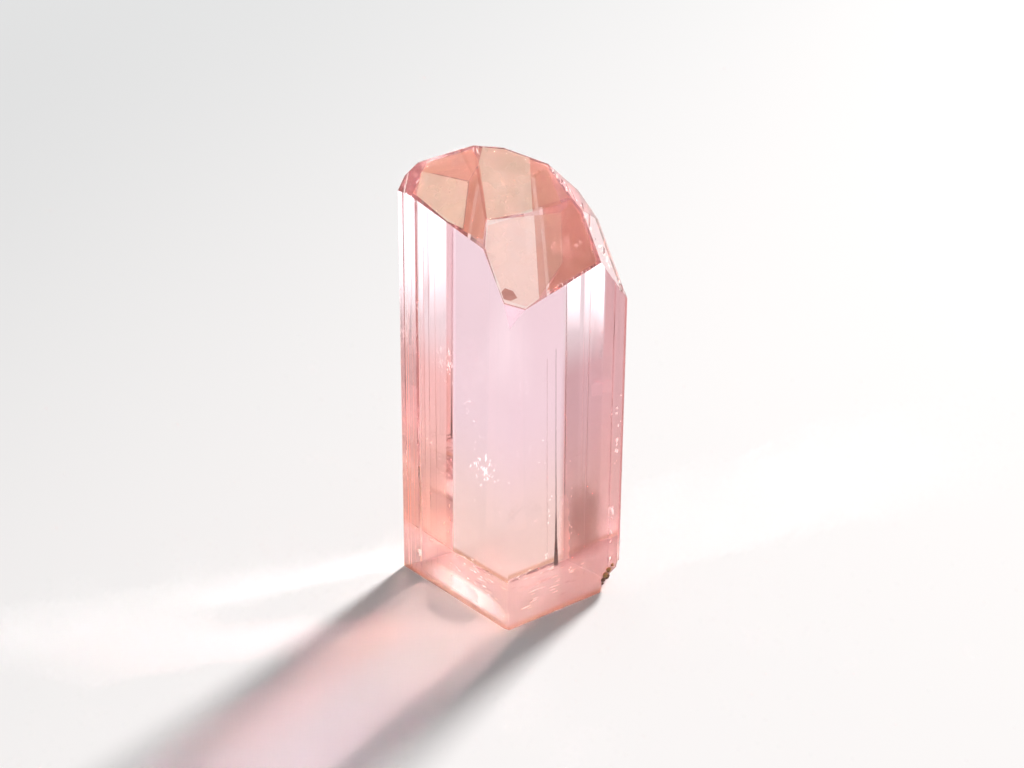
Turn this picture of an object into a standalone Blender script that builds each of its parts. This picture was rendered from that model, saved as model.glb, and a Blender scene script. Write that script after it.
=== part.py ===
# Pink topaz crystal, one natural piece, standing on its cleaved base.
# Metres, +Z along the long axis of the crystal, origin in the middle of the base.
import math

import bmesh
import bpy
from mathutils import Matrix, Vector

mm = 0.001

# Driving dimensions
blankHeight = 30.0 * mm
ledgeRun = 0.09 * mm
scoopSubdivisions = 3
cutTolerance = 1e-8

# Upright faces in order round the crystal, anticlockwise from the front. Each has the way it looks
# (degrees from +X), its distance from the axis, and its growth ledges as (start, end, depth), with
# start and end in parts of the face's width.
walls = {
    "frontCorner": (271.0, 5.215 * mm, []),
    "frontRight": (
        312.1,
        4.138 * mm,
        [(0.27, 0.33, 0.03 * mm), (0.42, 0.45, 0.05 * mm), (0.87, 0.91, 0.04 * mm)],
    ),
    "rightCorner": (3.0, 5.76 * mm, []),
    "backRight": (47.9, 3.660 * mm, [(0.20, 0.32, 0.03 * mm), (0.58, 0.63, 0.04 * mm)]),
    "backCorner": (95.4, 5.187 * mm, []),
    "backLeft": (132.1, 4.138 * mm, [(0.30, 0.37, 0.03 * mm), (0.62, 0.74, 0.04 * mm)]),
    "leftCorner": (184.0, 5.76 * mm, []),
    "frontLeft": (
        227.9,
        3.660 * mm,
        [(0.05, 0.09, 0.05 * mm), (0.13, 0.16, 0.04 * mm), (0.44, 0.55, 0.03 * mm)],
    ),
}

# Termination faces: the way each one looks (degrees from +X), its tilt from level, and the height at
# which it meets the axis. The crystal keeps what lies under all of them.
terminations = {
    "frontLeftLower": (234.5, 57.1, 27.162 * mm),
    "frontLeftUpper": (225.3, 56.7, 28.008 * mm),
    "frontRightLower": (303.1, 59.0, 25.780 * mm),
    "frontRightUpper": (301.3, 43.4, 24.308 * mm),
    "backDome": (99.9, 45.9, 25.031 * mm),
    "backLeft": (130.0, 60.4, 29.862 * mm),
    "backRight": (74.4, 46.4, 24.793 * mm),
    "rightShoulderUpper": (10.8, 51.3, 25.998 * mm),
    "rightShoulderLower": (356.5, 64.3, 29.117 * mm),
    "frontTip": (295.0, 75.0, 35.68 * mm),
}

# Broken corner at the right end of the base, and small nicks along the rim of the base. Each is a
# shell-shaped scoop: its middle, its radii, and its turn about Z in degrees.
scoops = {
    "cornerBreak": ((6.55, -0.75, -0.15), (1.75, 1.62, 1.60), 20.0),
    "cornerBreakUpper": ((6.40, -0.20, 1.05), (0.80, 0.95, 0.85), 35.0),
    "frontNick": ((0.10, -5.62, -0.10), (0.62, 0.52, 0.46), 0.0),
    "leftRimNick": ((-3.10, -2.78, -0.12), (0.52, 0.30, 0.26), 317.9),
    "rightRimNick": ((3.05, -3.12, -0.12), (0.46, 0.28, 0.24), 42.1),
    "backRimNick": ((1.90, 3.55, -0.14), (0.60, 0.34, 0.30), 317.9),
}

# Growth steps on the right shoulder: slim level cuts, spaced evenly down each shoulder face from its
# first point to its last one, given in plan. Each cut is a little wider than the one above.
shoulderSteps = {
    "rightShoulderUpper": ((2.45, 0.02), (3.30, 0.30), 3),
    "rightShoulderLower": ((4.02, -0.30), (5.20, -0.50), 4),
}
stepLength = 1.00 * mm
stepHeight = 0.09 * mm
stepDepth = 0.16 * mm
stepGrowth = 0.12


def wallNormal(name):
    look = math.radians(walls[name][0])
    return Vector((math.cos(look), math.sin(look)))


def wallCorner(first, second):
    # The point where two neighbouring upright faces meet: n1.p = d1 and n2.p = d2.
    n1 = wallNormal(first)
    n2 = wallNormal(second)
    d1 = walls[first][1]
    d2 = walls[second][1]
    cross = n1.x * n2.y - n1.y * n2.x
    return Vector(((d1 * n2.y - d2 * n1.y) / cross, (n1.x * d2 - n2.x * d1) / cross))


def outlinePoints():
    # Walks round the upright faces and steps inward where a growth ledge runs up the face.
    names = list(walls)
    points = []
    for i, name in enumerate(names):
        start = wallCorner(names[i - 1], name)
        end = wallCorner(name, names[(i + 1) % len(names)])
        along = (end - start).normalized()
        width = (end - start).length
        inward = -wallNormal(name)
        points.append(start)
        for ledgeStart, ledgeEnd, depth in walls[name][2]:
            points.append(start + along * (ledgeStart * width))
            points.append(start + along * (ledgeStart * width + ledgeRun) + inward * depth)
            points.append(start + along * (ledgeEnd * width - ledgeRun) + inward * depth)
            points.append(start + along * (ledgeEnd * width))
    return points


def raisePrism(mesh):
    # The outline as one face, drawn up to the height of the blank.
    corners = [mesh.verts.new((p.x, p.y, 0.0)) for p in outlinePoints()]
    floor = mesh.faces.new(corners)
    raised = bmesh.ops.extrude_face_region(mesh, geom=[floor])
    top = [item for item in raised["geom"] if isinstance(item, bmesh.types.BMVert)]
    bmesh.ops.translate(mesh, verts=top, vec=(0.0, 0.0, blankHeight))
    bmesh.ops.recalc_face_normals(mesh, faces=mesh.faces)


def planeNormal(name):
    # Outward normal of a termination face, from the way it looks and its tilt.
    turn = math.radians(terminations[name][0])
    lean = math.radians(terminations[name][1])
    return Vector((math.cos(turn) * math.sin(lean), math.sin(turn) * math.sin(lean), math.cos(lean)))


def cutTermination(mesh, name):
    # Takes away what lies above a tilted plane and closes the cut.
    everything = mesh.verts[:] + mesh.edges[:] + mesh.faces[:]
    bmesh.ops.bisect_plane(
        mesh,
        geom=everything,
        dist=cutTolerance,
        plane_co=(0.0, 0.0, terminations[name][2]),
        plane_no=planeNormal(name),
        clear_outer=True,
    )
    rim = [edge for edge in mesh.edges if edge.is_boundary]
    bmesh.ops.holes_fill(mesh, edges=rim)
    bmesh.ops.recalc_face_normals(mesh, faces=mesh.faces)


def makeCollection(name):
    collection = bpy.data.collections.new(name)
    bpy.context.scene.collection.children.link(collection)
    return collection


def objectFromMesh(name, mesh, collection):
    data = bpy.data.meshes.new(name)
    mesh.to_mesh(data)
    mesh.free()
    item = bpy.data.objects.new(name, data)
    collection.objects.link(item)
    return item


def clearPinkGlass():
    # Clear pink crystal: plain transmission with the refraction of topaz.
    material = bpy.data.materials.new("clear pink topaz")
    material.use_nodes = True
    shader = material.node_tree.nodes["Principled BSDF"]
    shader.inputs["Base Color"].default_value = (0.93, 0.70, 0.66, 1.0)
    shader.inputs["Roughness"].default_value = 0.02
    shader.inputs["IOR"].default_value = 1.62
    shader.inputs["Transmission Weight"].default_value = 1.0
    return material


def scoopCutter(name, collection):
    # A ball of flat facets, stretched to the radii and turned about Z.
    middle, radii, turn = scoops[name]
    mesh = bmesh.new()
    bmesh.ops.create_icosphere(mesh, subdivisions=scoopSubdivisions, radius=1.0)
    stretch = Matrix.Diagonal(Vector(radii) * mm).to_4x4()
    spin = Matrix.Rotation(math.radians(turn), 4, "Z")
    place = Matrix.Translation(Vector(middle) * mm)
    bmesh.ops.transform(mesh, matrix=place @ spin @ stretch, verts=mesh.verts)
    return objectFromMesh(name, mesh, collection)


def heightOnFace(name, x, y):
    # Height of a termination face over a point in plan, from n.p = n.z * height.
    normal = planeNormal(name)
    return terminations[name][2] - (normal.x * x + normal.y * y) / normal.z


def stepCutter(name, index, collection):
    # A slim block half sunk in a shoulder face: its length is level, its depth is along the face's
    # normal, and its middle lies on the face.
    (firstX, firstY), (lastX, lastY), count = shoulderSteps[name]
    share = index / (count - 1)
    x = (firstX + (lastX - firstX) * share) * mm
    y = (firstY + (lastY - firstY) * share) * mm
    depthAxis = planeNormal(name)
    lengthAxis = Vector((-depthAxis.y, depthAxis.x, 0.0)).normalized()
    slopeAxis = depthAxis.cross(lengthAxis)
    grow = 1.0 + stepGrowth * index
    mesh = bmesh.new()
    bmesh.ops.create_cube(mesh, size=1.0)
    size = Matrix.Diagonal((stepLength * grow, stepHeight * grow, stepDepth)).to_4x4()
    axes = Matrix((lengthAxis, slopeAxis, depthAxis)).transposed().to_4x4()
    place = Matrix.Translation((x, y, heightOnFace(name, x, y)))
    bmesh.ops.transform(mesh, matrix=place @ axes @ size, verts=mesh.verts)
    return objectFromMesh(name + "Step" + str(index + 1), mesh, collection)


def subtract(body, cutter):
    cutter.hide_render = True
    cutter.display_type = "WIRE"
    modifier = body.modifiers.new(cutter.name, "BOOLEAN")
    modifier.operation = "DIFFERENCE"
    modifier.solver = "EXACT"
    modifier.object = cutter


def main():
    for item in list(bpy.data.objects):
        bpy.data.objects.remove(item, do_unlink=True)
    crystalCollection = makeCollection("topaz crystal")
    cutterCollection = makeCollection("topaz crystal cutters")
    cutterCollection.hide_render = True

    mesh = bmesh.new()
    raisePrism(mesh)
    for name in terminations:
        cutTermination(mesh, name)
    crystal = objectFromMesh("topaz_crystal", mesh, crystalCollection)
    crystal.data.materials.append(clearPinkGlass())

    for name in scoops:
        subtract(crystal, scoopCutter(name, cutterCollection))
    for name, (firstPoint, lastPoint, count) in shoulderSteps.items():
        for index in range(count):
            subtract(crystal, stepCutter(name, index, cutterCollection))


main()
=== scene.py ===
import math

import bmesh
import bpy
import numpy as np
from mathutils import Matrix, Vector


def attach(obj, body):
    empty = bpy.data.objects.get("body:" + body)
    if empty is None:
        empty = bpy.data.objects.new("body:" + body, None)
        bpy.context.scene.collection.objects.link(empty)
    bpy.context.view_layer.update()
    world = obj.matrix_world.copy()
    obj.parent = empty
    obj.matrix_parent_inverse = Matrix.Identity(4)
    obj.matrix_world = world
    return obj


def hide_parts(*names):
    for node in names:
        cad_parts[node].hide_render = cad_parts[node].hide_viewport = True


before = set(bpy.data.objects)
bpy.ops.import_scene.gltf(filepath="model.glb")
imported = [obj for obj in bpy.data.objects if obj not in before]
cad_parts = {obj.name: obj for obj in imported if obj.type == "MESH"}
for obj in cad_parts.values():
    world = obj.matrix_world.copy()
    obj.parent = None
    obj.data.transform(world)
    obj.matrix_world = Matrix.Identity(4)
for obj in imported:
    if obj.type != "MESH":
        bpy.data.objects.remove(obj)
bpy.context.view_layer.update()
mm = 0.001
print("frame loaded")


def hexLinear(code):
    # An sRGB hex colour as linear light: c / 12.92 near black, ((c + 0.055) / 1.055) ^ 2.4 above.
    c = np.array([int(code[i:i + 2], 16) for i in (1, 3, 5)]) / 255.0
    c = np.where(c <= 0.04045, c / 12.92, ((c + 0.055) / 1.055) ** 2.4)
    return (*c.tolist(), 1.0)


def addNode(material, kind, settings=None, links=None):
    # One node, with its properties and socket values set and its inputs linked from other sockets. The two
    # colours of a colour Mix node are its sockets 6 and 7, and its result is output 2.
    node = material.node_tree.nodes.new(kind)
    for key, value in (settings or {}).items():
        if isinstance(key, str) and hasattr(node, key):
            setattr(node, key, value)
        else:
            node.inputs[key].default_value = value
    for key, source in (links or {}).items():
        material.node_tree.links.new(source, node.inputs[key])
    return node


def newMaterial(name):
    # A material whose node tree is still empty.
    material = bpy.data.materials.new(name)
    material.use_nodes = True
    material.node_tree.nodes.clear()
    return material


def putInScene(name, data):
    # One object at the origin, linked to the scene.
    item = bpy.data.objects.new(name, data)
    bpy.context.scene.collection.objects.link(item)
    return item


def gridQuads(rows, columns, closed=False, turned=False):
    # Faces of a grid of points, where the point of row r and column c has the number r * columns + c. In a
    # closed grid the last column joins the first. A turned face runs the other way round.
    spans = columns if closed else columns - 1
    row, col = np.meshgrid(np.arange(rows - 1), np.arange(spans), indexing="ij")
    here = row * columns + col
    beside = row * columns + (col + 1) % columns
    corners = [here, here + columns, beside + columns, beside]
    if turned:
        corners = [here, beside, beside + columns, here + columns]
    return np.stack(corners, -1).reshape(-1, 4)


def meshFromArrays(name, points, faces):
    # Whole arrays of points and of faces with equal numbers of corners go straight into a mesh.
    mesh = bpy.data.meshes.new(name)
    mesh.vertices.add(len(points))
    mesh.vertices.foreach_set("co", np.ascontiguousarray(points, dtype=np.float32).ravel())
    corners = np.ascontiguousarray(faces, dtype=np.int32)
    mesh.loops.add(corners.size)
    mesh.loops.foreach_set("vertex_index", corners.ravel())
    mesh.polygons.add(len(corners))
    mesh.polygons.foreach_set("loop_start", np.arange(0, corners.size, corners.shape[1], dtype=np.int32))
    mesh.update(calc_edges=True)
    return mesh


def setAttribute(mesh, name, domain, values):
    # One number for each point or face of a mesh, which its material reads by name.
    attribute = mesh.attributes.new(name, "FLOAT", domain)
    attribute.data.foreach_set("value", np.ravel(values).astype(np.float32))


def ballDirections(up, about):
    # Unit vectors (sin u cos a, sin u sin a, cos u) for the angle u from the top and the angle a round it.
    level = np.ones_like(about)
    return np.stack([np.sin(up) * np.cos(about), np.sin(up) * np.sin(about), np.cos(up) * level], -1)


def between(first, last, share):
    # The place at a share of the way: first + (last - first) * share.
    return np.array(first) + (np.array(last) - np.array(first)) * share


camera = {
    "place": (10.564, -111.84, 73.546),  # mm
    "turn": 5.40,  # degrees about the vertical
    "lean": 61.16,  # degrees up from straight down
    "roll": 0.40,  # degrees about the line of sight
    "lens": 87.82,  # mm
    "sensor": 36.0,  # mm across
}


def makeCamera():
    # The camera stands in front of the crystal and looks down on it by about 29 degrees. It looks straight
    # down at first, and is then rolled, leaned, turned and moved to its place.
    data = bpy.data.cameras.new("photoCamera")
    data.lens = camera["lens"]
    data.sensor_width = camera["sensor"]
    data.clip_start = 0.001
    data.clip_end = 20.0
    item = putInScene("photoCamera", data)
    turn = Matrix.Rotation(math.radians(camera["turn"]), 4, "Z")
    lean = Matrix.Rotation(math.radians(camera["lean"]), 4, "X")
    roll = Matrix.Rotation(math.radians(camera["roll"]), 4, "Z")
    item.matrix_world = Matrix.Translation(Vector(camera["place"]) * mm) @ turn @ lean @ roll
    bpy.context.scene.camera = item


light = {
    "keyAzimuth": 60.6,  # degrees from +X, towards the lamp
    "keyHeight": 37.0,  # degrees over the floor
    "keyDistance": 1.0,  # metres
    "keySize": 0.17,  # metres across
    "keyPower": 12.4,  # watts
    "keyColour": "#FFFDFB",
    "skyColour": "#F8F6F7",
    "skyPower": 0.38,
}


def makeLight():
    # A soft round lamp at the back right, aimed at the middle of the base, and an even pale surround. For
    # its azimuth a and height h the lamp stands at distance * (cos h cos a, cos h sin a, sin h).
    azimuth = math.radians(light["keyAzimuth"])
    height = math.radians(light["keyHeight"])
    level = math.cos(height)
    towards = Vector((level * math.cos(azimuth), level * math.sin(azimuth), math.sin(height)))
    lamp = bpy.data.lights.new("keyLamp", "AREA")
    lamp.shape = "DISK"
    lamp.size = light["keySize"]
    lamp.energy = light["keyPower"]
    lamp.color = hexLinear(light["keyColour"])[:3]
    item = putInScene("keyLamp", lamp)
    item.location = towards * light["keyDistance"]
    item.rotation_euler = towards.to_track_quat("Z", "Y").to_euler()
    world = bpy.data.worlds.new("paleSurround")
    world.use_nodes = True
    back = world.node_tree.nodes["Background"]
    back.inputs["Color"].default_value = hexLinear(light["skyColour"])
    back.inputs["Strength"].default_value = light["skyPower"]
    bpy.context.scene.world = world


glowCard = {
    "sectors": [(186.5, 204.0), (322.0, 343.0)],  # degrees from +X, where each card starts and ends
    "radii": (25.0, 33.0, 150.0),  # mm from the middle of the base
    "radiusFade": (0.0, 1.0, 1.0),  # how much each radius glows
    "endFade": 4.0,  # degrees over which a card fades at each end
    "height": 0.1,  # mm over the base
    "columns": 9,
    "power": 2.4,
}


def makeGlowCards():
    # Two glowing cards of painted light lie on the floor at the left and right, past the edges of the view:
    # they stand in for brightly lit floor that is seen only through the crystal. Each is a sector of a ring,
    # (r cos a, r sin a), that fades in from its inner radius and from its two ends.
    columns = glowCard["columns"]
    radii = np.array(glowCard["radii"]) * mm
    height = np.full((len(radii), columns), glowCard["height"] * mm)
    quads = gridQuads(len(radii), columns)
    points = []
    faces = []
    shares = []
    for start, end in glowCard["sectors"]:
        turns = np.linspace(start, end, columns)
        inside = np.clip(np.minimum(turns - start, end - turns) / glowCard["endFade"], 0.0, 1.0)
        turns = np.radians(turns)
        grid = np.stack([np.outer(radii, np.cos(turns)), np.outer(radii, np.sin(turns)), height], -1)
        faces.append(quads + len(points) * len(radii) * columns)
        points.append(grid.reshape(-1, 3))
        shares.append(np.outer(glowCard["radiusFade"], inside))
    mesh = meshFromArrays("glowCard", np.concatenate(points), np.concatenate(faces))
    setAttribute(mesh, "fade", "POINT", np.concatenate(shares))

    # Painted light: not a lit card but a plain glow, see-through where the card fades.
    sheet = newMaterial("paintedBrightFloorGlow")
    share = addNode(sheet, "ShaderNodeAttribute", {"attribute_name": "fade"})
    paintedGlow = addNode(sheet, "ShaderNodeEmission", {"Strength": glowCard["power"]})
    clear = addNode(sheet, "ShaderNodeBsdfTransparent")
    parts = {0: share.outputs["Fac"], 1: clear.outputs[0], 2: paintedGlow.outputs[0]}
    mix = addNode(sheet, "ShaderNodeMixShader", links=parts)
    addNode(sheet, "ShaderNodeOutputMaterial", links={"Surface": mix.outputs[0]})
    mesh.materials.append(sheet)
    card = putInScene("glowCard", mesh)
    card.visible_camera = False
    card.visible_diffuse = False
    card.visible_shadow = False


floor = {
    "half": 2.0,  # metres
    "drop": 0.02,  # mm, gap under the crystal
    # The card's far colour is painted shade: the card greys towards the far left, standing in for the dimmer
    # light there.
    "farPaintedShade": "#D2D4D5",
    "nearColour": "#F1F0F0",
    "slope": (1.0, -0.6, 0.0),  # the card brightens along x - 0.6 y
    "farEnd": -95.0,  # mm along that
    "nearEnd": 14.0,
    "roughness": 0.9,
}


def makeFloor():
    # One flat square sheet with its corners at half its width either way.
    half = floor["half"]
    z = -floor["drop"] * mm
    points = np.array([[-half, -half, z], [half, -half, z], [half, half, z], [-half, half, z]])
    mesh = meshFromArrays("floorCard", points, np.array([[0, 1, 2, 3]]))

    # Uncoated white card: matt, with no gloss at all, and painted shade that greys it a little towards the
    # far left.
    card = newMaterial("whiteCardWithPaintedShade")
    place = addNode(card, "ShaderNodeTexCoord")
    dot = {"operation": "DOT_PRODUCT", 1: floor["slope"]}
    along = addNode(card, "ShaderNodeVectorMath", dot, {0: place.outputs["Object"]})
    ends = {
        "interpolation_type": "SMOOTHSTEP",
        "From Min": floor["farEnd"] * mm,
        "From Max": floor["nearEnd"] * mm,
    }
    share = addNode(card, "ShaderNodeMapRange", ends, {"Value": along.outputs["Value"]})
    tones = {"data_type": "RGBA", 6: hexLinear(floor["farPaintedShade"]), 7: hexLinear(floor["nearColour"])}
    tone = addNode(card, "ShaderNodeMix", tones, {0: share.outputs[0]})
    matt = {"Roughness": floor["roughness"], "Specular IOR Level": 0.0}
    shader = addNode(card, "ShaderNodeBsdfPrincipled", matt, {"Base Color": tone.outputs[2]})
    addNode(card, "ShaderNodeOutputMaterial", links={"Surface": shader.outputs[0]})
    mesh.materials.append(card)
    putInScene("floorCard", mesh)


crystal = {
    "blank": 30.0,  # mm, height before the tip is cut
    "rows": 24,
    "riser": 0.015,  # mm, run of the small step at a band's edge
    "endGap": 1e-6,  # share of a face's width within which a point counts as its far end
    "cutTolerance": 1e-8,  # metres
    "ior": 1.62,
    "colour": "#F54972",
    "density": 15.0,  # absorption per metre
    "baseRoughness": 0.8,
    "faceRoughness": 0.0,
    "acrossTint": "#FBE7F1",  # seen across the length: lavender pink
    "footTint": "#FBE2D8",
    "topTint": "#FFFFFF",
    "leftTint": "#FFB9AE",
    "leftFootTint": "#DE9678",
    # The right flank's tints are warm like the left's, and darker and browner towards the foot as painted
    # shade, where the floor shadow is seen through the crystal.
    "rightTint": "#CC9296",
    "rightFootTint": "#C3857A",
    "edgeTint": "#DC9A9A",
    "tipTint": "#FFF6EC",
    "tipSlope": 0.32,  # how far up a face looks to count as one of the tip
    "rimTint": "#CB8D68",
}

# Upright faces, anticlockwise from the front: the way each looks in degrees, its distance from the axis in
# mm, and its growth bands. A band (start, end, turn, depth) covers a share of the width, leans by a few
# degrees to one side and lies a few hundredths of a millimetre in.
walls = {
    "frontRight": (
        312.1, 4.138,
        [(0.672, 0.679, 0.0, 0.006), (0.875, 0.895, 0.0, 0.03), (0.90, 1.0, 5.0, 0.0)],
    ),
    "rightCorner": (3.0, 5.76, []),
    "backRight": (47.9, 3.660, [(0.02, 0.38, -1.2, 0.0), (0.70, 0.77, -0.9, 0.0)]),
    "backCorner": (95.4, 5.187, []),
    "backLeft": (
        132.1, 4.138,
        [(0.13, 0.66, 1.7, 0.0), (0.70, 0.90, 1.7, 0.0), (0.92, 1.0, 1.7, 0.0)],
    ),
    "leftCorner": (184.0, 5.76, []),
    "frontLeft": (
        227.9, 3.660,
        [
            (0.07, 0.085, 0.0, 0.03), (0.115, 0.13, 0.0, 0.02), (0.17, 0.178, 0.0, 0.012),
            (0.225, 0.232, 0.0, 0.010), (0.27, 0.277, 0.0, 0.014), (0.33, 0.337, 0.0, 0.010),
        ],
    ),
}

# Tip faces: the way each looks and its tilt from level in degrees, and its height on the axis in mm.
tips = {
    "frontLeftLower": (234.5, 57.1, 27.162),
    "frontLeftUpper": (225.3, 56.7, 28.008),
    "frontRightLower": (303.1, 59.0, 25.780),
    "frontRightUpper": (301.3, 43.4, 24.308),
    "backDome": (99.9, 45.9, 25.031),
    "backLeft": (130.0, 60.4, 29.862),
    "backRight": (74.4, 46.4, 24.793),
    "rightShoulderUpper": (10.8, 51.3, 25.998),
    "rightShoulderLower": (356.5, 64.3, 29.117),
    "frontTip": (296.5, 72.0, 32.57),
}


def wallLines():
    # The outward directions (cos a, sin a) of the upright faces in plan, and their distances.
    look = np.radians([wall[0] for wall in walls.values()])
    far = np.array([wall[1] for wall in walls.values()])
    return np.stack([np.cos(look), np.sin(look)], 1), far


def onWall(wall, x, z, inset):
    # The place on an upright face at a given x and height, from n.p = distance - inset.
    look, far, _ = walls[wall]
    nx = math.cos(math.radians(look))
    ny = math.sin(math.radians(look))
    return np.stack([x, (far - inset - nx * x) / ny, np.broadcast_to(z, x.shape)], -1)


def planeOf(tip):
    # A tip face's outward normal (cos a sin t, sin a sin t, cos t) for the way a that it looks and its tilt
    # t, and its height on the axis.
    look, tilt, height = tips[tip]
    a = math.radians(look)
    t = math.radians(tilt)
    return np.array([math.cos(a) * math.sin(t), math.sin(a) * math.sin(t), math.cos(t)]), height


def liftToTip(tip, plan, inset):
    # Height over a place in plan, from n.p = n.z * height, then moved inward along the normal.
    normal, height = planeOf(tip)
    plan = np.array(plan, dtype=float)
    z = height - (plan @ normal[:2]) / normal[2]
    return np.column_stack([plan, z]) - normal * inset


def wallProfile():
    # Walks round the upright faces: each face runs between the crossings of its line with its
    # neighbours' lines. Along a band the depth rises by the tangent of its turn, and a short riser
    # closes each step. A point at a face's far end is left to the next face.
    normal, far = wallLines()
    before = np.roll(normal, 1, 0)
    farBefore = np.roll(far, 1)
    cross = before[:, 0] * normal[:, 1] - before[:, 1] * normal[:, 0]
    cornerX = (farBefore * normal[:, 1] - far * before[:, 1]) / cross
    cornerY = (before[:, 0] * far - normal[:, 0] * farBefore) / cross
    corners = np.stack([cornerX, cornerY], 1)
    runs = []
    for i, (_, _, bands) in enumerate(walls.values()):
        start = corners[i]
        end = corners[(i + 1) % len(walls)]
        width = np.linalg.norm(end - start)
        riser = crystal["riser"] / width
        share = [0.0]
        depth = [0.0]
        for low, high, turn, deep in bands:
            rise = math.tan(math.radians(turn)) * (high - low) * width
            share += [low, low + riser, high - riser, high]
            depth += [0.0, deep + max(-rise, 0.0), deep + max(rise, 0.0), 0.0]
        share = np.array(share)
        depth = np.array(depth)
        keep = share < 1.0 - crystal["endGap"]
        share = share[keep, None]
        depth = depth[keep, None]
        runs.append(start + (end - start) * share - normal[i] * depth)
    return np.concatenate(runs)


def crystalMesh():
    # The outline carried straight up the long axis, closed top and bottom, then cut by each tip face.
    outline = wallProfile() * mm
    heights = np.linspace(0.0, crystal["blank"] * mm, crystal["rows"])
    grid = np.empty((len(heights), len(outline), 3))
    grid[:, :, :2] = outline[None]
    grid[:, :, 2] = heights[:, None]
    quads = gridQuads(len(heights), len(outline), closed=True, turned=True)
    mesh = meshFromArrays("topazCrystal", grid.reshape(-1, 3), quads)
    work = bmesh.new()
    work.from_mesh(mesh)
    bmesh.ops.holes_fill(work, edges=[edge for edge in work.edges if edge.is_boundary])
    bmesh.ops.recalc_face_normals(work, faces=work.faces)
    for tip in tips:
        normal, height = planeOf(tip)
        bmesh.ops.bisect_plane(
            work,
            geom=work.verts[:] + work.edges[:] + work.faces[:],
            dist=crystal["cutTolerance"],
            plane_co=(0, 0, height * mm),
            plane_no=Vector(normal),
            clear_outer=True,
        )
        bmesh.ops.holes_fill(work, edges=[edge for edge in work.edges if edge.is_boundary])
    bmesh.ops.recalc_face_normals(work, faces=work.faces)
    work.to_mesh(mesh)
    work.free()
    mesh.shade_flat()
    return mesh


chips = {
    # The broken corner and the nicks round the rim of the base: middle and radii in mm, and turn about the
    # vertical in degrees.
    "scoops": {
        "cornerBreak": ((6.55, -0.75, -0.15), (1.75, 1.62, 1.60), 20.0),
        "cornerBreakUpper": ((6.40, -0.20, 1.05), (0.80, 0.95, 0.85), 35.0),
        "frontNick": ((0.10, -5.62, -0.10), (0.62, 0.52, 0.46), 0.0),
        "leftRimNick": ((-3.10, -2.78, -0.12), (0.52, 0.30, 0.26), 317.9),
        "rightRimNick": ((3.05, -3.12, -0.12), (0.46, 0.28, 0.24), 42.1),
        "backRimNick": ((1.90, 3.55, -0.14), (0.60, 0.34, 0.30), 317.9),
    },
    "rings": 22,
    "turns": 44,
    "ripples": 18.0,  # shell-shaped waves in a full turn
    "rippleHeight": 0.012,  # share of the radius
    "rippleFrom": (-0.51, -0.33, 0.79),  # the way from a scoop's middle to where its waves start
}

steps = {
    # Growth steps on the right shoulder: tip face, first and last place in plan, how many, and their
    # length, height and depth, in mm. Each step wanders a little from the even spacing and size.
    "rows": [
        ("rightShoulderUpper", (2.20, 0.30), (3.30, 0.30), 4, (0.75, 0.14, 0.16)),
        ("rightShoulderLower", (3.95, -0.25), (5.30, -0.55), 3, (0.70, 0.20, 0.16)),
    ],
    "seed": 41,
    "wander": 0.25,  # share of the spacing
    "shift": 0.1,  # mm in plan
    "sizes": (0.45, 1.5),  # least and most share of the size above
    "lean": 0.22,  # radians, usual lean from level
}


def scoopMesh(name):
    # A ball, r = 1 + h sin(k a) with a the angle from where its waves start, stretched, turned and moved.
    middle, radii, turn = chips["scoops"][name]
    turns = chips["turns"]
    up = np.linspace(0.0, np.pi, chips["rings"])[1:-1, None]
    about = np.linspace(0.0, 2.0 * np.pi, turns, endpoint=False)[None, :]
    unit = np.concatenate([ballDirections(up, about).reshape(-1, 3), [[0, 0, 1.0], [0, 0, -1.0]]])
    angle = np.arccos(np.clip(unit @ np.array(chips["rippleFrom"]), -1.0, 1.0))
    unit = unit * (1.0 + chips["rippleHeight"] * np.sin(chips["ripples"] * angle))[:, None]
    c = math.cos(math.radians(turn))
    s = math.sin(math.radians(turn))
    points = unit * np.array(radii) @ np.array([[c, s, 0], [-s, c, 0], [0, 0, 1]]) + np.array(middle)
    rings = len(up)
    top = rings * turns
    lastRing = (rings - 1) * turns
    cap = [(top, i, (i + 1) % turns) for i in range(turns)]
    bottomCap = [(top + 1, lastRing + (i + 1) % turns, lastRing + i) for i in range(turns)]
    mesh = bpy.data.meshes.new("scoop")
    sides = gridQuads(rings, turns, closed=True).tolist()
    mesh.from_pydata((points * mm).tolist(), [], sides + cap + bottomCap)
    return mesh


def stepMesh(tip, place, size, lean):
    # A slim block half sunk in a tip face, its depth along the face's normal and its length level but for
    # a small lean. Its corners are middle +- length / 2, +- height / 2 and +- depth / 2 along its axes.
    normal, _ = planeOf(tip)
    level = np.array([-normal[1], normal[0], 0.0])
    level /= np.linalg.norm(level)
    slope = np.cross(normal, level)
    length = level * math.cos(lean) + slope * math.sin(lean)
    height = slope * math.cos(lean) - level * math.sin(lean)
    signs = np.array([(i, j, k) for i in (-0.5, 0.5) for j in (-0.5, 0.5) for k in (-0.5, 0.5)])
    points = liftToTip(tip, [place], 0.0) + signs * size @ np.array([length, height, normal])
    faces = [(0, 1, 3, 2), (4, 6, 7, 5), (0, 4, 5, 1), (2, 3, 7, 6), (0, 2, 6, 4), (1, 5, 7, 3)]
    mesh = bpy.data.meshes.new("step")
    mesh.from_pydata((points * mm).tolist(), [], faces)
    mesh.shade_flat()
    return mesh


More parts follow.
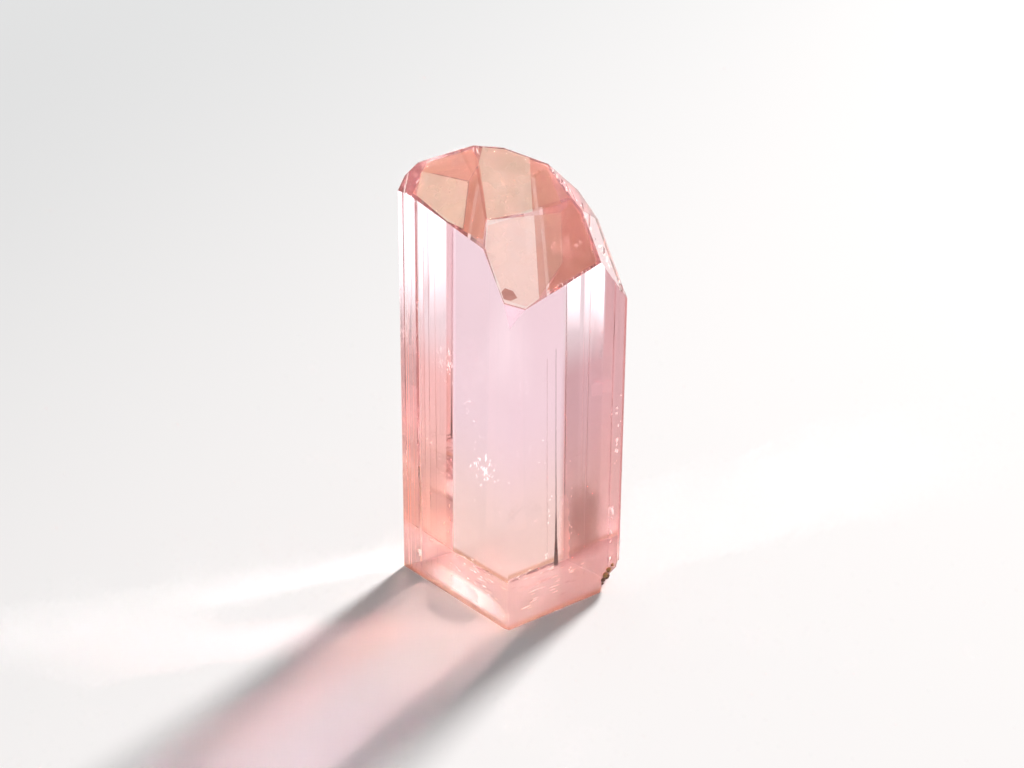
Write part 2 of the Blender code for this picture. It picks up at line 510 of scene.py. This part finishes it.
def carve(mesh):
    # Takes the scoops and the steps out of the crystal with exact Booleans and returns the result. Step
    # number i of n stands at the share (i + wander) / (n - 1) of the way down its face.
    chance = np.random.default_rng(steps["seed"])
    wander = steps["wander"]
    shift = steps["shift"]
    cutters = [scoopMesh(name) for name in chips["scoops"]]
    for tip, first, last, count, size in steps["rows"]:
        for share in (np.arange(count) + chance.uniform(-wander, wander, count)) / (count - 1):
            place = between(first, last, share) + chance.uniform(-shift, shift, 2)
            block = chance.uniform(*steps["sizes"], 3) * size
            cutters.append(stepMesh(tip, place, block, chance.normal(0.0, steps["lean"])))
    body = putInScene("carving", mesh)
    items = [putInScene("cutter", cutter) for cutter in cutters]
    for number, item in enumerate(items):
        cut = body.modifiers.new("cut" + str(number), "BOOLEAN")
        cut.operation = "DIFFERENCE"
        cut.solver = "EXACT"
        cut.object = item
    bpy.context.view_layer.update()
    done = bpy.data.meshes.new_from_object(body.evaluated_get(bpy.context.evaluated_depsgraph_get()))
    for item in [body] + items:
        data = item.data
        bpy.data.objects.remove(item, do_unlink=True)
        bpy.data.meshes.remove(data)
    done.name = "topazCrystal"
    return done


# Soft borders between the tints: what each follows, where it starts and ends in mm, and its least share.
tintBorders = {
    "foot": ("Z", 10.0, 4.0, 0.0),
    "high": ("Z", 12.5, 16.5, 0.0),
    "rightHigh": ("Z", 13.6, 17.0, 0.0),
    "overFoot": ("Z", 2.2, 3.4, 0.42),
    "rim": ("Z", 0.42, 0.18, 0.0),
    "base": ("Z", 0.012, 0.008, 0.0),
    "rightHalf": ("X", -0.5, 0.5, 0.0),
    "rightEdge": ("X", 4.62, 4.80, 0.0),
    "frontHalf": ("Y", 1.6, 0.8, 0.0),
    "aside": ("offAxis", 2.7, 3.0, 0.0),
}

# Each tint is laid over an earlier one by a border's share: its name, the border, what is under and over.
tintLayers = [
    ("middle", "foot", "acrossTint", "footTint"),
    ("leftLow", "foot", "leftTint", "leftFootTint"),
    ("left", "high", "leftLow", "topTint"),
    # The right layers lay painted shade on the right flank, darker and browner towards its foot.
    ("rightLowShade", "foot", "rightTint", "rightFootTint"),
    ("rightBroadShade", "rightHigh", "rightLowShade", "topTint"),
    ("right", "rightEdge", "rightBroadShade", "edgeTint"),
    ("flanks", "rightHalf", "left", "right"),
    ("upright", "flank", "middle", "flanks"),
    ("faces", "tip", "upright", "tipTint"),
    ("ringed", "rim", "faces", "rimTint"),
    ("whole", "base", "ringed", "topTint"),
]


def markTips(mesh):
    # A face belongs to the tip if it looks up: the height part of its normal is over a limit.
    normals = np.empty(len(mesh.polygons) * 3, dtype=np.float32)
    mesh.polygons.foreach_get("normal", normals)
    setAttribute(mesh, "tipFace", "FACE", normals.reshape(-1, 3)[:, 2] > crystal["tipSlope"])


def topazMaterial():
    # Natural topaz: clear growth faces that bend light strongly, pink by absorption through its depth and
    # warmer along it than across it, with a cleaved foot that scatters and a rust line round the rim. Its
    # right flank carries painted shade.
    material = newMaterial("naturalTopazGrownFaces")
    place = addNode(material, "ShaderNodeTexCoord")
    parts = addNode(material, "ShaderNodeSeparateXYZ", links={0: place.outputs["Object"]})
    offAxis = addNode(material, "ShaderNodeMath", {"operation": "ABSOLUTE"}, {0: parts.outputs["X"]})
    tip = addNode(material, "ShaderNodeAttribute", {"attribute_name": "tipFace"})
    shares = {"tip": tip.outputs["Fac"]}
    for name, (follows, start, end, least) in tintBorders.items():
        source = offAxis.outputs[0] if follows == "offAxis" else parts.outputs[follows]
        settings = {
            "interpolation_type": "SMOOTHSTEP",
            "From Min": start * mm,
            "From Max": end * mm,
            "To Min": least,
        }
        shares[name] = addNode(material, "ShaderNodeMapRange", settings, {"Value": source}).outputs[0]

    # The flanks lie aside of the axis and in the front half, and show less in the foot.
    shares["flank"] = shares["aside"]
    for border in ("frontHalf", "overFoot"):
        both = {0: shares["flank"], 1: shares[border]}
        shares["flank"] = addNode(material, "ShaderNodeMath", {"operation": "MULTIPLY"}, both).outputs[0]
    tints = {}
    for name, border, under, over in tintLayers:
        settings = {"data_type": "RGBA"}
        links = {0: shares[border]}
        for socket, tint in ((6, under), (7, over)):
            if tint in tints:
                links[socket] = tints[tint]
            else:
                settings[socket] = hexLinear(crystal[tint])
        tints[name] = addNode(material, "ShaderNodeMix", settings, links).outputs[2]
    ends = {"To Min": crystal["faceRoughness"], "To Max": crystal["baseRoughness"]}
    rough = addNode(material, "ShaderNodeMapRange", ends, {"Value": shares["base"]})
    clear = {"IOR": crystal["ior"], "Transmission Weight": 1.0}
    surface = {"Base Color": tints["whole"], "Roughness": rough.outputs[0]}
    shader = addNode(material, "ShaderNodeBsdfPrincipled", clear, surface)
    depth = {"Color": hexLinear(crystal["colour"]), "Density": crystal["density"]}
    absorb = addNode(material, "ShaderNodeVolumeAbsorption", depth)
    ends = {"Surface": shader.outputs[0], "Volume": absorb.outputs[0]}
    addNode(material, "ShaderNodeOutputMaterial", links=ends)
    return material


def makeCrystal():
    # The carved and tinted crystal, which stands for the CAD node.
    mesh = carve(crystalMesh())
    markTips(mesh)
    mesh.materials.append(topazMaterial())
    item = putInScene("topazCrystal", mesh)
    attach(item, "root")
    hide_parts("topaz_crystal")


# What all the thin films share. A film's clouds drift its cover a little down and up.
film = {
    "thickness": 0.004,  # mm
    "cloudsPerMm": 1.2,  # clouds of pores are a little under a millimetre across
    "cloudDetail": 3.0,
    "cloudEnds": (0.3, 0.7),  # noise at the thinnest and the thickest cloud
    "coverDrift": (-0.10, 0.06),  # what those add to the cover
    "throughShare": 0.5,  # share of the scattered light that leaves on the far side
    "paintedGlowShare": 0.5,
    "columns": 9,
    "softEdge": 0.35,  # share of a soft film's width, from each side in to full cover
}

# Healed cracks just under the tip faces, with insets in mm and corners in plan. Their glowing beige tones
# are also painted light, standing in for the bright windows seen through the tip.
tipFilms = {
    "etchedSkinLeft": {
        "tip": "frontLeftLower", "inset": 0.04, "colour": "#E6B6A2", "cover": 0.34, "glow": 0.75,
        "corners": [(-1.12, -3.80), (-1.08, -3.18), (-1.98, -0.40), (-4.32, 0.36), (-4.98, -0.30)],
    },
    "etchedSkinTop": {
        "tip": "frontRightUpper", "inset": 0.04, "colour": "#E6B6A2", "cover": 0.34, "glow": 0.75,
        "corners": [(-1.85, -0.36), (-0.50, 0.14), (1.60, 0.38), (2.80, -0.46), (-0.94, -3.12)],
    },
    "etchedSkinRight": {
        "tip": "frontRightLower", "inset": 0.04, "colour": "#E2A896", "cover": 0.30, "glow": 0.75,
        "corners": [
            (1.10, -4.50), (0.10, -4.84), (-0.96, -3.90), (-0.92, -3.22), (2.88, -0.52), (3.36, -0.62),
            (4.36, -1.56),
        ],
    },
    "healedCrackUpperLeft": {
        "tip": "frontLeftLower", "inset": 0.12, "colour": "#E2A894", "cover": 0.62, "glow": 0.70,
        "corners": [
            (-4.72, 0.12), (-4.32, 0.34), (-2.02, -0.40), (-1.66, -1.02), (-2.10, -1.33), (-4.60, 0.22),
        ],
    },
    "healedCrackLeft": {
        "tip": "frontLeftLower", "inset": 0.10, "colour": "#E6DACB", "cover": 0.76, "glow": 0.78,
        "corners": [(-4.60, 0.20), (-2.12, -1.36), (-2.22, -2.76), (-3.06, -2.13), (-4.80, -0.44)],
    },
    "healedCrackTop": {
        "tip": "frontRightUpper", "inset": 0.10, "colour": "#DFD9CD", "cover": 0.74, "glow": 0.74,
        "corners": [
            (-1.50, -0.18), (-0.50, 0.18), (0.77, 0.34), (1.12, -1.78), (-0.97, -3.00), (-1.19, -2.31),
            (-1.62, -1.02),
        ],
    },
    "healedCrackTopRight": {
        "tip": "frontRightUpper", "inset": 0.12, "colour": "#D89E88", "cover": 0.55, "glow": 0.68,
        "corners": [(0.78, 0.30), (1.62, 0.34), (2.45, -0.85), (1.13, -1.76)],
    },
    "healedCrackFront": {
        "tip": "frontRightLower", "inset": 0.06, "colour": "#EEEBEA", "cover": 0.70, "glow": 0.84,
        "corners": [
            (-0.98, -3.10), (1.20, -1.84), (1.68, -3.98), (1.08, -4.58), (0.08, -4.92), (-0.30, -4.62),
            (-0.98, -3.88),
        ],
    },
    "healedCrackRight": {
        "tip": "frontRightLower", "inset": 0.10, "colour": "#D2AC9C", "cover": 0.64, "glow": 0.64,
        "corners": [(1.22, -1.83), (2.46, -1.10), (2.68, -2.42), (1.70, -3.93)],
    },
    "ironBandRight": {
        "tip": "frontRightLower", "inset": 0.13, "colour": "#CE8674", "cover": 0.66, "glow": 0.52,
        "corners": [
            (2.48, -1.08), (2.90, -0.60), (3.34, -0.66), (4.28, -1.62), (2.40, -3.26), (2.02, -3.58),
            (2.70, -2.42),
        ],
    },
    "ironBand": {
        "tip": "frontLeftLower", "inset": 0.14, "colour": "#DC9682", "cover": 0.78, "glow": 0.55,
        "corners": [
            (-1.66, -1.04), (-2.08, -1.38), (-2.20, -2.84), (-1.16, -3.62), (-1.10, -3.05), (-1.26, -2.31),
        ],
    },
    "healedCrackLow": {
        "tip": "frontTip", "inset": 0.02, "colour": "#F1DEE6", "cover": 0.74, "glow": 0.90,
        "corners": [(1.045, -4.636), (0.045, -4.974), (0.357, -5.252)],
    },
    "ironSpot": {
        "tip": "frontRightLower", "inset": 0.04, "colour": "#C76A58", "cover": 0.75, "glow": 0.34,
        "corners": [
            (0.05, -4.51), (0.43, -4.40), (0.66, -4.48), (0.36, -4.72), (0.02, -4.84), (-0.10, -4.70),
        ],
    },
}

# Cracks and films just inside an upright face. Each row gives x, z and width in mm.
wallFilms = {
    "ironCrack": {
        "wall": "frontRight", "inset": 0.12, "colour": "#8E4438", "cover": 0.92, "glow": 0.16, "soft": False,
        "rows": [
            (2.43, 15.6, 0.015), (2.50, 10.0, 0.022), (2.56, 6.0, 0.05), (2.585, 4.2, 0.13),
            (2.60, 2.75, 0.22),
        ],
    },
    "fineCrack": {
        "wall": "frontRight", "inset": 0.14, "colour": "#D79A98", "cover": 0.5, "glow": 0.4, "soft": False,
        "rows": [(2.02, 15.2, 0.02), (2.10, 8.0, 0.03), (2.16, 3.5, 0.02)],
    },
    # A dark film of painted shade on the lower right, where the floor shadow is seen through the crystal.
    "paintedShadePatch": {
        "wall": "frontRight", "inset": 0.20, "colour": "#AE7263", "cover": 0.60, "glow": 0.42, "soft": True,
        "rows": [
            (3.80, 7.4, 1.7), (3.82, 6.0, 2.1), (3.84, 5.1, 2.2), (3.86, 4.2, 2.2), (3.88, 3.2, 2.2),
            (3.90, 2.3, 2.1),
        ],
    },
    # A glowing pale strip of painted highlight along the foot of the front left face.
    "paintedRimHighlight": {
        "wall": "frontLeft", "inset": 0.20, "colour": "#FFF8F8", "cover": 0.75, "glow": 0.95, "soft": True,
        "rows": [
            (-2.1, 1.55, 3.4), (-2.1, 1.2, 4.4), (-2.1, 0.85, 5.0), (-2.1, 0.5, 5.0), (-2.1, 0.22, 4.6),
        ],
    },
    "darkStreakFront": {
        "wall": "frontRight", "inset": 0.25, "colour": "#B98480", "cover": 0.55, "glow": 0.45, "soft": True,
        "rows": [(1.95, 3.15, 1.4), (1.80, 2.96, 2.4), (1.65, 2.78, 1.6)],
    },
    "darkStreakLow": {
        "wall": "frontRight", "inset": 0.25, "colour": "#C79490", "cover": 0.40, "glow": 0.45, "soft": True,
        "rows": [(1.50, 2.28, 1.4), (1.65, 2.13, 2.2), (1.4, 1.98, 1.6)],
    },
    "darkStreakLeft": {
        "wall": "frontLeft", "inset": 0.25, "colour": "#C08A84", "cover": 0.45, "glow": 0.45, "soft": True,
        "rows": [(-1.1, 2.62, 1.4), (-1.2, 2.48, 2.2), (-1.3, 2.34, 1.2)],
    },
    "paleSplinterFilm": {
        "wall": "frontRight", "inset": 0.16, "colour": "#F6DAD6", "cover": 0.45, "glow": 0.85, "soft": False,
        "rows": [
            (2.86, 6.9, 0.30), (2.90, 6.5, 0.46), (2.90, 6.1, 0.42), (2.92, 5.8, 0.56), (2.90, 5.4, 0.46),
            (2.93, 5.0, 0.58), (2.91, 4.7, 0.50), (2.95, 4.3, 0.62), (2.92, 3.9, 0.50), (2.96, 3.5, 0.62),
            (2.93, 3.2, 0.52), (2.96, 2.9, 0.60),
        ],
    },
}


def filmMaterial(name, colour, cover, glow, soft=False):
    # A healed crack: a thin cloudy film of tiny pores that lets part of the light pass straight on, and
    # glows with painted light, an emission that stands in for the light and glints it catches. Light meets
    # the film's two sides, so each side covers 1 - sqrt(1 - cover).
    material = newMaterial(name)
    place = addNode(material, "ShaderNodeTexCoord")
    clouds = {"Scale": film["cloudsPerMm"] / mm, "Detail": film["cloudDetail"]}
    cloud = addNode(material, "ShaderNodeTexNoise", clouds, {"Vector": place.outputs["Object"]})
    ends = {
        "From Min": film["cloudEnds"][0],
        "From Max": film["cloudEnds"][1],
        "To Min": cover + film["coverDrift"][0],
        "To Max": cover + film["coverDrift"][1],
    }
    share = addNode(material, "ShaderNodeMapRange", ends, {"Value": cloud.outputs["Fac"]})
    if soft:
        edge = addNode(material, "ShaderNodeAttribute", {"attribute_name": "fade"})
        both = {0: share.outputs[0], 1: edge.outputs["Fac"]}
        share = addNode(material, "ShaderNodeMath", {"operation": "MULTIPLY"}, both)
    left = addNode(material, "ShaderNodeMath", {"operation": "SUBTRACT", 0: 1.0}, {1: share.outputs[0]})
    root = addNode(material, "ShaderNodeMath", {"operation": "SQRT"}, {0: left.outputs[0]})
    side = addNode(material, "ShaderNodeMath", {"operation": "SUBTRACT", 0: 1.0}, {1: root.outputs[0]})
    tone = hexLinear(colour)
    front = addNode(material, "ShaderNodeBsdfDiffuse", {"Color": tone})
    through = addNode(material, "ShaderNodeBsdfTranslucent", {"Color": tone})
    both = {1: front.outputs[0], 2: through.outputs[0]}
    scattered = addNode(material, "ShaderNodeMixShader", {0: film["throughShare"]}, both)
    # Painted light: the emission stands in for the light that the film catches, though nothing lights it.
    strength = glow / film["paintedGlowShare"]
    paintedGlow = addNode(material, "ShaderNodeEmission", {"Color": tone, "Strength": strength})
    both = {1: scattered.outputs[0], 2: paintedGlow.outputs[0]}
    veil = addNode(material, "ShaderNodeMixShader", {0: film["paintedGlowShare"]}, both)
    clear = addNode(material, "ShaderNodeBsdfTransparent")
    both = {0: side.outputs[0], 1: clear.outputs[0], 2: veil.outputs[0]}
    sheet = addNode(material, "ShaderNodeMixShader", links=both)
    addNode(material, "ShaderNodeOutputMaterial", links={"Surface": sheet.outputs[0]})
    return material


def addInclusion(name, mesh, material, thickness=0.0):
    # A piece that sits in or on the crystal, with a finish of its own and so no slot of the record. A film
    # is given its thickness and so becomes a closed sheet.
    mesh.materials.append(material)
    item = putInScene(name, mesh)
    if thickness:
        sheet = item.modifiers.new("thickness", "SOLIDIFY")
        sheet.thickness = thickness * mm
        sheet.offset = 0.0
    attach(item, "root")


def makeTipFilms():
    # Each film is one flat face, its corners in plan lifted to the tip face and moved inward.
    for name, part in tipFilms.items():
        points = liftToTip(part["tip"], part["corners"], part["inset"]) * mm
        mesh = bpy.data.meshes.new(name)
        mesh.from_pydata(points.tolist(), [], [list(range(len(points)))])
        material = filmMaterial(name, part["colour"], part["cover"], part["glow"])
        addInclusion(name, mesh, material, film["thickness"])


def makeWallFilms():
    # Each film is a grid on its wall: x + width * s for the shares s across, at each row's z. A soft film
    # fades to nothing in its first and last row and at its sides.
    across = np.linspace(-0.5, 0.5, film["columns"])[:, None]
    for name, part in wallFilms.items():
        x, z, width = np.array(part["rows"]).T
        grid = onWall(part["wall"], x + width * across, z, part["inset"])
        mesh = meshFromArrays(name, grid.reshape(-1, 3) * mm, gridQuads(*grid.shape[:2], turned=True))
        if part["soft"]:
            ends = np.ones(len(z))
            ends[[0, -1]] = 0.0
            inside = np.clip((0.5 - np.abs(across)) / film["softEdge"], 0.0, 1.0)
            setAttribute(mesh, "fade", "POINT", inside * ends)
        material = filmMaterial(name, part["colour"], part["cover"], part["glow"], part["soft"])
        addInclusion(name, mesh, material, film["thickness"])


# What all the flakes share. A flake is level where its upright stretch is small.
flake = {
    "corners": 7,
    "sizes": (0.35, 1.1),  # least and most share of the size given for it
    "reaches": (0.35, 1.0),  # how far each corner reaches
    "halfThickness": 0.02,  # mm
    "gap": 0.03,  # mm to the nearest face
    "lean": 0.5,  # radians, most lean to a side
    "levelLean": 0.04,
    "levelStretch": 0.5,
    "tipInset": 0.09,  # mm
    "tipSpread": 0.16,  # mm
    "tipStretch": 0.4,
    "tipLean": 0.3,
}

# The flakes' materials are given by name, colour, cover and glow. On a wall a row gives the wall, inset, x,
# z, spread in x and z, count, size and upright stretch. On a tip face it gives the face, first and last
# place in plan, count and size. All lengths are in mm.
flakeSets = {
    "airFlakes": {
        "seed": 7,
        # The air flakes glow as painted glints, standing in for the lamp light that they reflect.
        "material": ("trappedAirFlakes", "#FFFCFA", 0.92, 1.1),
        "onWalls": [
            ("frontLeft", 0.35, -1.76, 12.0, 0.22, 0.55, 9, 0.085, 1.0),
            ("frontLeft", 0.50, -0.75, 8.8, 0.34, 0.56, 38, 0.070, 2.8),
            ("frontLeft", 0.45, -0.35, 8.6, 0.25, 0.35, 8, 0.09, 1.5),
            ("frontLeft", 0.45, -1.10, 10.4, 0.25, 0.6, 6, 0.05, 1.2),
            ("frontRight", 0.35, 2.45, 10.8, 0.22, 0.2, 5, 0.05, 0.8),
            ("frontRight", 0.35, 1.78, 9.4, 0.10, 0.8, 3, 0.06, 1.0),
            ("frontRight", 0.35, 2.17, 6.3, 0.08, 0.6, 6, 0.07, 1.3),
            ("frontRight", 0.35, 2.12, 3.7, 0.16, 0.2, 4, 0.06, 1.4),
            ("frontRight", 0.30, 5.40, 11.0, 0.08, 0.7, 5, 0.10, 1.4),
            ("frontRight", 0.30, 5.38, 9.0, 0.06, 0.6, 4, 0.11, 1.8),
            ("frontRight", 0.30, 5.33, 7.6, 0.05, 0.3, 2, 0.06, 1.5),
            ("frontRight", 0.30, 5.22, 3.6, 0.06, 1.3, 9, 0.09, 3.6),
            ("frontLeft", 0.30, -4.15, 8.4, 0.12, 0.3, 3, 0.06, 1.5),
            ("frontLeft", 0.30, -3.08, 5.4, 0.10, 0.8, 5, 0.05, 5.0),
            ("frontLeft", 0.25, -4.75, 1.5, 0.10, 0.2, 4, 0.15, 1.2),
            ("frontRight", 0.30, 3.22, 4.9, 0.06, 1.9, 12, 0.06, 2.0),
            ("frontLeft", 0.30, -1.60, 2.75, 0.75, 0.12, 14, 0.20, 0.22),
            ("frontLeft", 0.30, -1.30, 2.25, 0.70, 0.15, 12, 0.16, 0.20),
            ("frontLeft", 0.35, -2.30, 1.75, 0.90, 0.15, 8, 0.14, 0.25),
            ("frontRight", 0.30, 1.20, 2.95, 0.60, 0.10, 7, 0.14, 0.25),
        ],
        "onTips": [
            ("rightShoulderUpper", (1.75, 0.40), (3.50, 0.10), 30, 0.20),
            ("rightShoulderLower", (3.70, -0.35), (5.45, -0.45), 34, 0.20),
        ],
    },
    "ironChips": {
        "seed": 5,
        "material": ("ironStainedChips", "#B4705F", 0.80, 0.34),
        "onWalls": [],
        "onTips": [
            ("rightShoulderUpper", (1.95, 0.35), (3.40, 0.12), 9, 0.15),
            ("rightShoulderLower", (4.10, -0.42), (5.10, -0.45), 7, 0.13),
        ],
    },
    "ironSeams": {
        "seed": 11,
        "material": ("ironStainedSeams", "#8A544E", 0.72, 0.22),
        "onWalls": [
            ("frontRight", 0.14, 1.60, 3.00, 0.55, 0.07, 12, 0.45, 0.14),
            ("frontRight", 0.14, 2.90, 2.62, 0.60, 0.08, 6, 0.40, 0.12),
            ("frontRight", 0.14, 1.60, 2.30, 0.80, 0.20, 8, 0.40, 0.10),
            ("frontRight", 0.14, 2.60, 1.30, 0.90, 0.25, 5, 0.36, 0.09),
            ("frontLeft", 0.14, -0.90, 2.60, 0.50, 0.12, 8, 0.42, 0.10),
            ("frontLeft", 0.14, -1.60, 2.10, 0.70, 0.18, 7, 0.38, 0.09),
        ],
        "onTips": [],
    },
    "poreSeams": {
        "seed": 12,
        "material": ("finePoreSeams", "#FFF1EC", 0.50, 0.95),
        "onWalls": [
            ("frontRight", 0.12, 1.90, 2.72, 0.60, 0.10, 8, 0.40, 0.12),
            ("frontRight", 0.12, 2.00, 1.95, 0.80, 0.25, 9, 0.42, 0.10),
            ("frontRight", 0.12, 1.50, 1.00, 0.60, 0.30, 6, 0.40, 0.09),
            ("frontRight", 0.12, 3.60, 1.60, 0.60, 0.40, 6, 0.34, 0.12),
            ("frontLeft", 0.12, -1.20, 2.35, 0.60, 0.15, 8, 0.42, 0.10),
            ("frontLeft", 0.12, -0.90, 1.40, 0.50, 0.35, 5, 0.34, 0.10),
        ],
        "onTips": [],
    },
}


def insideCrystal(points, gap):
    # Whether every point lies under all the upright faces and tip faces and over the base, by a gap in mm:
    # n.p < distance - gap for each of them.
    normals, far = wallLines()
    underWalls = points[:, :2] @ normals.T < far - gap
    planes = [planeOf(tip) for tip in tips]
    normals = np.array([normal for normal, _ in planes])
    heights = np.array([height for _, height in planes])
    underTips = points @ normals.T < heights * normals[:, 2] - gap
    return underWalls.all() and underTips.all() and points[:, 2].min() > gap


def flakePlaces(part, chance):
    # Where the flakes of a set lie: on a wall they scatter about a place, x + spread and z + spread, and on
    # a tip face they scatter about the line between two places. Each gets the three directions of its face.
    places = []
    for wall, inset, x, z, spreadX, spreadZ, count, size, stretch in part["onWalls"]:
        look = math.radians(walls[wall][0])
        along = np.array([-math.sin(look), math.cos(look), 0.0])
        outward = np.array([math.cos(look), math.sin(look), 0.0])
        up = np.array([0.0, 0.0, 1.0])
        x = x + chance.normal(0.0, spreadX, count)
        z = z + chance.normal(0.0, spreadZ, count)
        lean = flake["lean"] if stretch > flake["levelStretch"] else flake["levelLean"]
        for middle in onWall(wall, x, z, inset):
            places.append((middle, along, up, outward, size, stretch, lean))
    for tip, first, last, count, size in part["onTips"]:
        normal, _ = planeOf(tip)
        along = np.array([-normal[1], normal[0], 0.0]) / math.hypot(normal[0], normal[1])
        up = np.cross(normal, along)
        share = chance.uniform(0.0, 1.0, (count, 1))
        spots = between(first, last, share) + chance.normal(0.0, flake["tipSpread"], (count, 2))
        for middle in liftToTip(tip, spots, flake["tipInset"]):
            places.append((middle, along, up, normal, size, flake["tipStretch"], flake["tipLean"]))
    return places


def addFlakes(name, part):
    # Each flake is a flat lens: a ring of uneven corners, middle + reach * (cos a * side + sin a * rise),
    # and a point on each side of it. A flake that would reach out of the crystal is left out.
    chance = np.random.default_rng(part["seed"])
    corners = flake["corners"]
    turns = np.linspace(0.0, 2.0 * np.pi, corners, endpoint=False)[:, None]
    lenses = []
    for middle, along, up, outward, size, stretch, lean in flakePlaces(part, chance):
        reach = size * chance.uniform(*flake["sizes"]) * chance.uniform(*flake["reaches"], corners)[:, None]
        turn = chance.uniform(-lean, lean)
        side = along * math.cos(turn) + up * math.sin(turn)
        rise = (up * math.cos(turn) - along * math.sin(turn)) * stretch
        ring = middle + reach * (np.cos(turns) * side + np.sin(turns) * rise)
        bulge = outward * flake["halfThickness"]
        lens = np.concatenate([ring, [middle + bulge], [middle - bulge]])
        if insideCrystal(lens, flake["gap"]):
            lenses.append(lens)
    corner = np.arange(corners)
    nextCorner = (corner + 1) % corners
    top = np.stack([corner, nextCorner, np.full(corners, corners)], -1)
    low = np.stack([nextCorner, corner, np.full(corners, corners + 1)], -1)
    first = np.arange(len(lenses)) * (corners + 2)
    faces = np.concatenate([top, low])[None] + first[:, None, None]
    mesh = meshFromArrays(name, np.concatenate(lenses) * mm, faces.reshape(-1, 3))
    addInclusion(name, mesh, filmMaterial(*part["material"]))


rust = {
    "ochre": "#C9965A",
    "brown": "#5A3A24",
    "grainsPerMm": 9.0,  # earthy grains of about a tenth of a millimetre
    "grainDetail": 4.0,
    "grainEnds": (0.35, 0.6),  # noise in the hollows and on the crests
    "relief": 0.03,  # mm
    "roughness": 0.75,
    "ior": 1.5,
}

crumb = {
    # Crumbs on the broken corner, by piece: the colour, and each crumb's middle and radius in mm.
    "pieces": {
        "ochreCrumbs": ("ochre", [
            ((5.10, -0.92, 0.98), 0.17),
            ((5.26, -0.76, 1.22), 0.15),
            ((5.42, -0.60, 1.42), 0.10),
        ]),
        "brownCrumbs": ("brown", [
            ((4.98, -1.02, 0.74), 0.14),
            ((5.18, -0.80, 0.82), 0.16),
            ((4.96, -1.04, 0.50), 0.08),
        ]),
    },
    "rings": 12,
    "turns": 20,
    "waves": (2, 3, 4),  # in a full turn
    "bumps": 0.28,  # share of the radius
    "shift": 6.28,  # radians, most shift of a wave
    "merge": 1e-7,  # metres, for the points of a pole
    "seed": 19,
}


def rustMaterial(name, colour):
    # Limonite, an earthy rust: rough, grainy, and darker in its hollows.
    material = newMaterial(name)
    place = addNode(material, "ShaderNodeTexCoord")
    grains = {"Scale": rust["grainsPerMm"] / mm, "Detail": rust["grainDetail"]}
    grain = addNode(material, "ShaderNodeTexNoise", grains, {"Vector": place.outputs["Object"]})
    ends = {"From Min": rust["grainEnds"][0], "From Max": rust["grainEnds"][1]}
    share = addNode(material, "ShaderNodeMapRange", ends, {"Value": grain.outputs["Fac"]})
    tones = {"data_type": "RGBA", 6: hexLinear(rust["brown"]), 7: hexLinear(rust[colour])}
    tone = addNode(material, "ShaderNodeMix", tones, {0: share.outputs[0]})
    bump = {"Distance": rust["relief"] * mm}
    relief = addNode(material, "ShaderNodeBump", bump, {"Height": grain.outputs["Fac"]})
    dull = {"Roughness": rust["roughness"], "IOR": rust["ior"]}
    surface = {"Base Color": tone.outputs[2], "Normal": relief.outputs[0]}
    shader = addNode(material, "ShaderNodeBsdfPrincipled", dull, surface)
    addNode(material, "ShaderNodeOutputMaterial", links={"Surface": shader.outputs[0]})
    return material


def makeCrumbs():
    # Each crumb is a ball whose radius wanders by a sum of waves over its turns a and rings u:
    # r = 1 + the sum over k of bumps / k * sin(k a + p) sin(k u + q) sin u, with random shifts p and q.
    chance = np.random.default_rng(crumb["seed"])
    rings = crumb["rings"]
    turns = crumb["turns"]
    up = np.linspace(0.0, np.pi, rings)[:, None]
    about = np.linspace(0.0, 2.0 * np.pi, turns, endpoint=False)[None, :]
    unit = ballDirections(up, about)
    quads = gridQuads(rings, turns, closed=True)
    for name, (colour, places) in crumb["pieces"].items():
        points = []
        faces = []
        for middle, radius in places:
            reach = np.ones((rings, turns))
            for k in crumb["waves"]:
                p, q = chance.uniform(0.0, crumb["shift"], 2)
                reach += crumb["bumps"] / k * np.sin(k * about + p) * np.sin(k * up + q) * np.sin(up)
            faces.append(quads + len(points) * rings * turns)
            points.append((unit * reach[..., None] * radius).reshape(-1, 3) + middle)
        mesh = meshFromArrays(name, np.concatenate(points) * mm, np.concatenate(faces))
        work = bmesh.new()
        work.from_mesh(mesh)
        bmesh.ops.remove_doubles(work, verts=work.verts, dist=crumb["merge"])
        bmesh.ops.recalc_face_normals(work, faces=work.faces)
        work.to_mesh(mesh)
        work.free()
        addInclusion(name, mesh, rustMaterial(name, colour))


makeCamera()
makeLight()
makeGlowCards()
makeFloor()
print("camera, light and floor made")
makeCrystal()
print("crystal made")
makeTipFilms()
makeWallFilms()
print("cracks and films made")
for name, part in flakeSets.items():
    addFlakes(name, part)
print("flakes and seams made")
makeCrumbs()
print("crumbs made")

# Light crosses many clear faces and films here, so it may bend and pass on often, and the light that the
# crystal gathers on the floor is neither clamped nor blurred.
bpy.context.scene.view_settings.view_transform = "Standard"
cycles = bpy.context.scene.cycles
cycles.max_bounces = 32
cycles.transmission_bounces = 32
cycles.transparent_max_bounces = 40
cycles.glossy_bounces = 16
cycles.diffuse_bounces = 6
cycles.sample_clamp_indirect = 0.0
cycles.blur_glossy = 0.0
